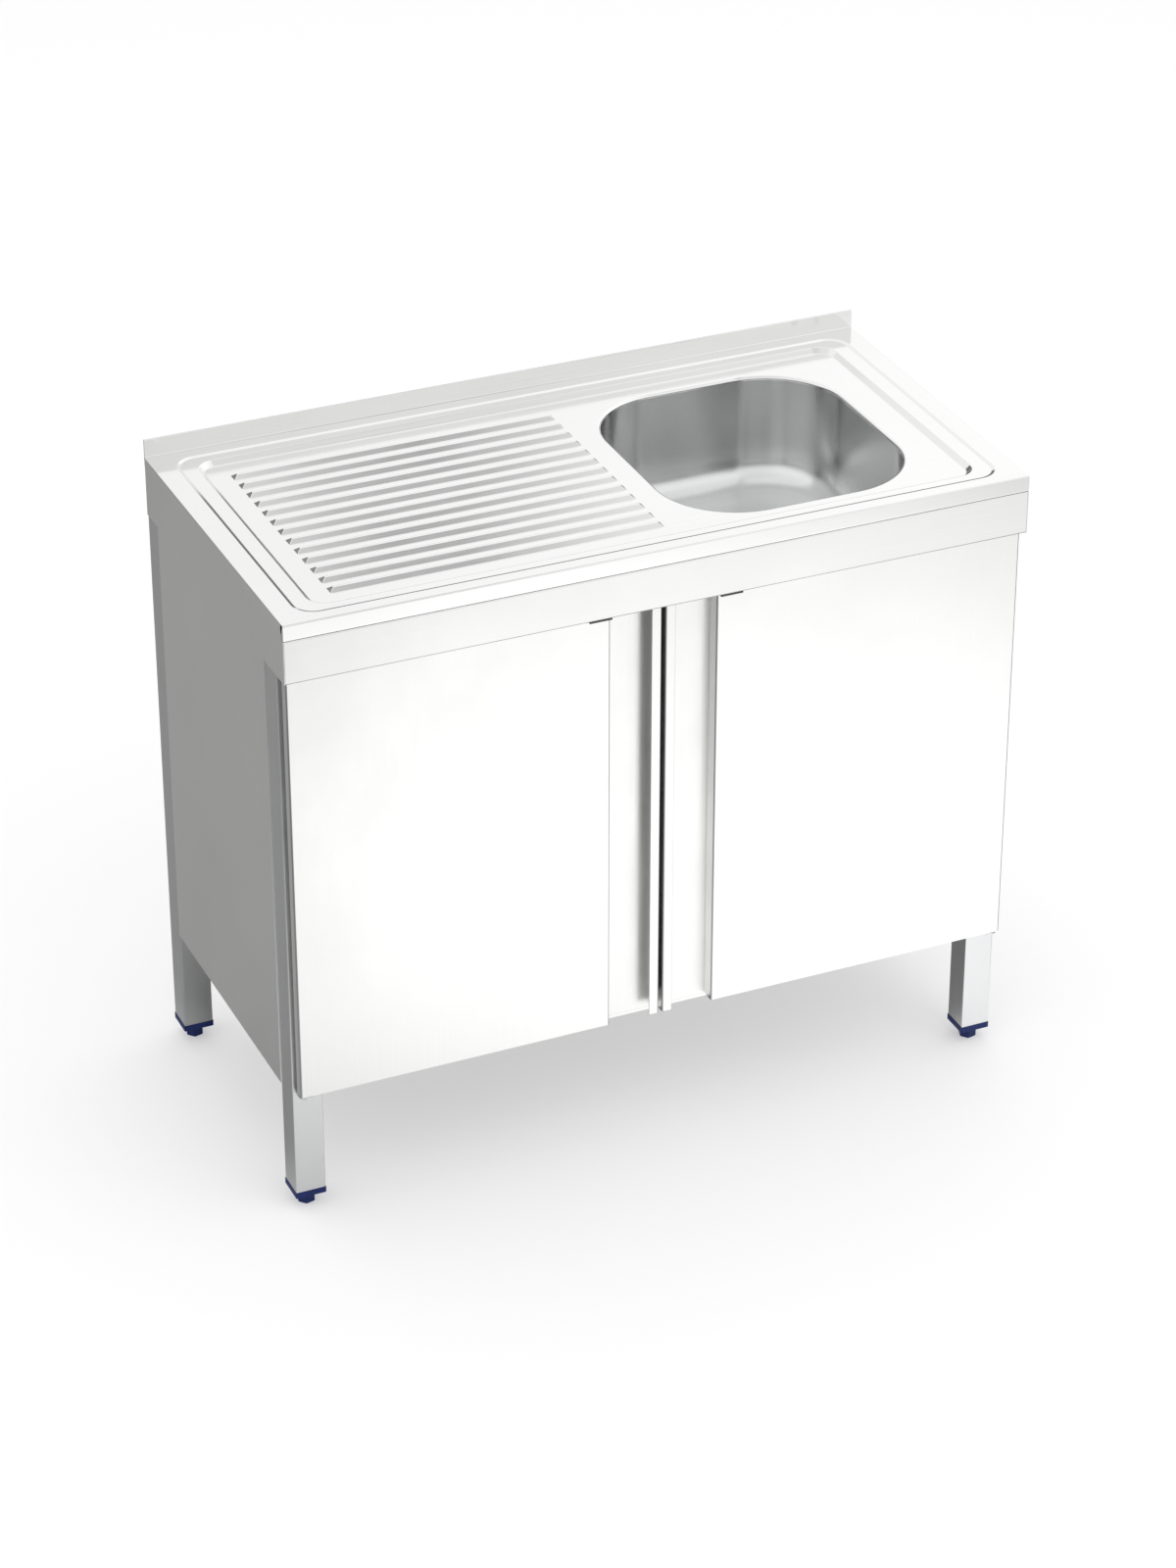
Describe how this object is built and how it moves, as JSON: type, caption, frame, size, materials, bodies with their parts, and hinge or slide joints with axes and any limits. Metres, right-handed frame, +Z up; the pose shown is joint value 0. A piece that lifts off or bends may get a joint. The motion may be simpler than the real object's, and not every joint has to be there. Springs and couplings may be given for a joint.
{
  "type": "sink unit",
  "caption": "Stainless steel sink unit: ribbed drainer top with a deep-drawn bowl, panels, a bottom shelf, hinged doors with recessed grips and square legs on screw feet.",
  "frame": {"origin": "on the floor, under the middle of the unit's width and depth", "axes": "+X to the right along the front, +Y from the doors to the wall, +Z up"},
  "size_m": [1, 0.5, 0.885],
  "materials": {
    "bright_steel": "pressed, fine brushed",
    "brushed_steel": "satin brushed",
    "door_steel": "satin brushed",
    "satin_steel": "drawn, satin",
    "tube_steel": "satin tube",
    "mill_steel": "mill finish",
    "polished_steel": "polished",
    "navy_plastic": "moulded, dark blue",
    "nylon": "moulded, natural white",
    "waste_plastic": "moulded, black",
    "seal_rubber": "moulded, black",
    "magnet_black": "ferrite in a black case"
  },
  "bodies": {
    "cabinet": {"worktop": "bright_steel", "bowl": "satin_steel", "drainer_stiffeners": "mill_steel", "front_rail": "brushed_steel", "rear_rail": "mill_steel", "side_panel_left": "brushed_steel", "side_panel_right": "brushed_steel", "back_panel": "mill_steel", "bottom_shelf": "brushed_steel", "leg_front_left": "tube_steel", "leg_front_right": "tube_steel", "leg_rear_left": "tube_steel", "leg_rear_right": "tube_steel", "leg_cap_front_left": "navy_plastic", "leg_cap_front_right": "navy_plastic", "leg_cap_rear_left": "navy_plastic", "leg_cap_rear_right": "navy_plastic", "strainer": "polished_steel", "strainer_seal": "seal_rubber", "waste_seal": "seal_rubber", "waste_tail": "waste_plastic", "waste_screw": "polished_steel", "upper_pivot_plate_left": "mill_steel", "upper_pivot_plate_right": "mill_steel", "lower_pivot_plate_left": "mill_steel", "lower_pivot_plate_right": "mill_steel", "upper_pin_left": "polished_steel", "upper_pin_right": "polished_steel", "lower_pin_left": "polished_steel", "lower_pin_right": "polished_steel", "magnet_left": "magnet_black", "magnet_right": "magnet_black", "door_buffers": "seal_rubber"},
    "door_left": {"door_skin_left": "door_steel", "door_inner_left": "door_steel", "upper_bush_left": "nylon", "lower_bush_left": "nylon", "strike_plate_left": "mill_steel"},
    "door_right": {"door_skin_right": "door_steel", "door_inner_right": "door_steel", "upper_bush_right": "nylon", "lower_bush_right": "nylon", "strike_plate_right": "mill_steel"},
    "adjuster_front_left": {"foot_front_left": "navy_plastic"},
    "adjuster_front_right": {"foot_front_right": "navy_plastic"},
    "adjuster_rear_left": {"foot_rear_left": "navy_plastic"},
    "adjuster_rear_right": {"foot_rear_right": "navy_plastic"}
  },
  "joints": [
    {"name": "door_left_swing", "type": "hinge", "parent": "cabinet", "child": "door_left", "pos_m": [-0.4858, -0.2297, 0.48], "axis": [0, 0, -1], "range_deg": [0, 100]},
    {"name": "door_right_swing", "type": "hinge", "parent": "cabinet", "child": "door_right", "pos_m": [0.4858, -0.2297, 0.48], "axis": [0, 0, 1], "range_deg": [0, 100]},
    {"name": "foot_front_left_height", "type": "slide", "parent": "cabinet", "child": "adjuster_front_left", "axis": [0, 0, -1], "range_m": [0, 0.025]},
    {"name": "foot_front_right_height", "type": "slide", "parent": "cabinet", "child": "adjuster_front_right", "axis": [0, 0, -1], "range_m": [0, 0.025]},
    {"name": "foot_rear_left_height", "type": "slide", "parent": "cabinet", "child": "adjuster_rear_left", "axis": [0, 0, -1], "range_m": [0, 0.025]},
    {"name": "foot_rear_right_height", "type": "slide", "parent": "cabinet", "child": "adjuster_rear_right", "axis": [0, 0, -1], "range_m": [0, 0.025]}
  ]
}
